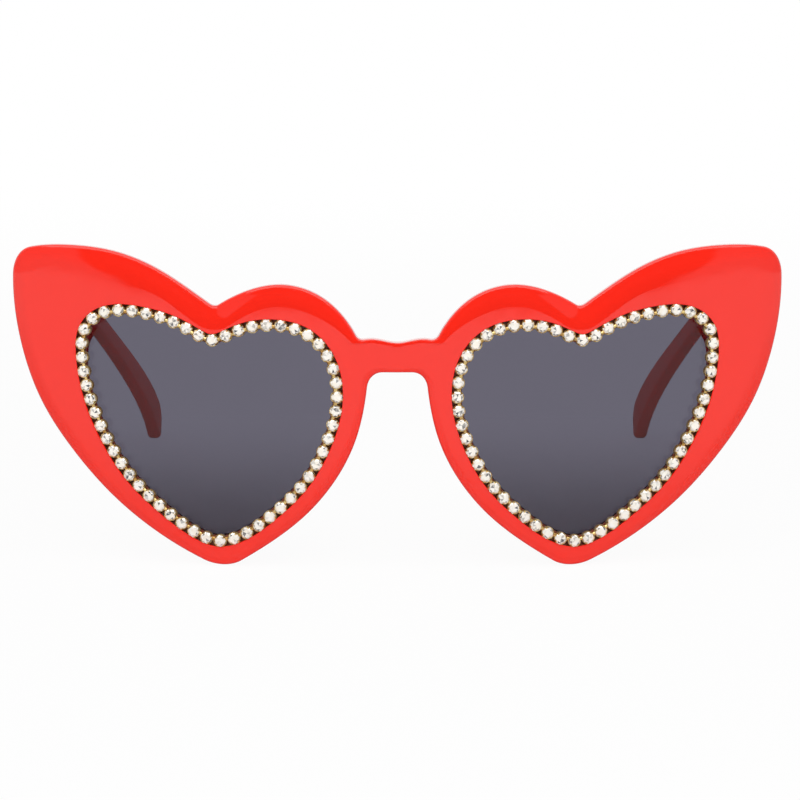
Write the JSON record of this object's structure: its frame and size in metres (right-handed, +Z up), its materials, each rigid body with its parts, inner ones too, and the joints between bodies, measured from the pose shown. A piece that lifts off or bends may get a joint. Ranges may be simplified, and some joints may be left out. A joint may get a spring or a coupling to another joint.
{
  "type": "heart shaped sunglasses",
  "caption": "Heart shaped cat-eye sunglasses: glossy red moulded front with stone-set rims, grey tinted lenses, and hinged temples that fold behind the front.",
  "frame": {"origin": "centre of the open glasses' footprint box, on the surface that the heart points and ear tips stand on", "axes": "+X to the wearer's left across the front, +Y from the front to the ear tips, +Z up"},
  "size_m": [0.15, 0.1403, 0.0613],
  "materials": {
    "red_frame_plastic": "glossy moulded, opaque red",
    "grey_lens": "glossy, neutral grey tint, see-through",
    "gold_brass": "polished",
    "clear_crystal": "faceted, foiled behind",
    "hinge_steel": "satin"
  },
  "bodies": {
    "front": {"frame_front": "red_frame_plastic", "lens_left": "grey_lens", "lens_right": "grey_lens", "stone_cups_left": "gold_brass", "stone_cups_right": "gold_brass", "stone_links_left": "gold_brass", "stone_links_right": "gold_brass", "crystals_left": "clear_crystal", "crystals_right": "clear_crystal", "front_hinge_leaf_left": "hinge_steel", "front_hinge_leaf_right": "hinge_steel", "hinge_screw_left": "hinge_steel", "hinge_screw_right": "hinge_steel"},
    "temple_left": {"temple_left": "red_frame_plastic", "temple_hinge_leaf_left": "hinge_steel"},
    "temple_right": {"temple_right": "red_frame_plastic", "temple_hinge_leaf_right": "hinge_steel"}
  },
  "joints": [
    {"name": "temple_left_fold", "type": "hinge", "parent": "front", "child": "temple_left", "pos_m": [0.0679, -0.04813, 0.04833], "axis": [0, 0.0622, 0.9981], "range_deg": [0, 87]},
    {"name": "temple_right_fold", "type": "hinge", "parent": "front", "child": "temple_right", "pos_m": [-0.0679, -0.04813, 0.04833], "axis": [0, -0.0622, -0.9981], "range_deg": [0, 82]}
  ]
}
